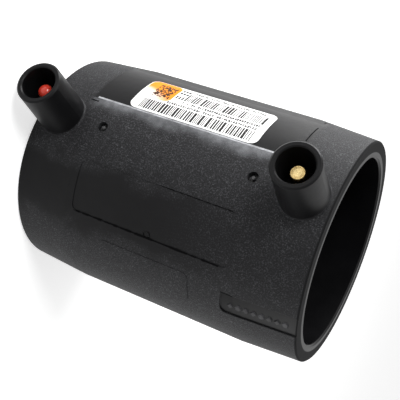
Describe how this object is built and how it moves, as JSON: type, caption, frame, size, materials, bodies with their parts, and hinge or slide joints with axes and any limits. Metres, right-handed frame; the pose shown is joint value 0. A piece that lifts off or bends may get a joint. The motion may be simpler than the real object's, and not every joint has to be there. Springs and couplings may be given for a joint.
{
  "type": "electrofusion coupler",
  "caption": "Electrofusion coupler: a moulded pipe sleeve with a heating winding in each socket, terminal shrouds, fusion indicators and a label.",
  "frame": {"origin": "centre of the lower mouth, in the plane of the lower end face", "axes": "+Z along the pipe axis towards the upper mouth, +X the way both terminal shrouds point"},
  "size_m": [0.0956, 0.0772, 0.103],
  "materials": {
    "body": "fine-grained black polyethylene with a soft sheen",
    "winding": "smooth black coating over resistance wire",
    "lower_terminal": "tinned turned metal",
    "upper_terminal": "turned brass with concentric tool marks",
    "recognition_cap": "glossy moulded red",
    "indicator": "black polyethylene, slightly greyer than the body",
    "label": "white printed film"
  },
  "bodies": {
    "root": {"body": "body", "heating_wire": "winding", "lower_terminal_pin": "lower_terminal", "recognition_cap": "recognition_cap", "upper_terminal_pin": "upper_terminal", "lower_indicator_pin": "indicator", "upper_indicator_pin": "indicator", "label": "label"}
  },
  "joints": []
}
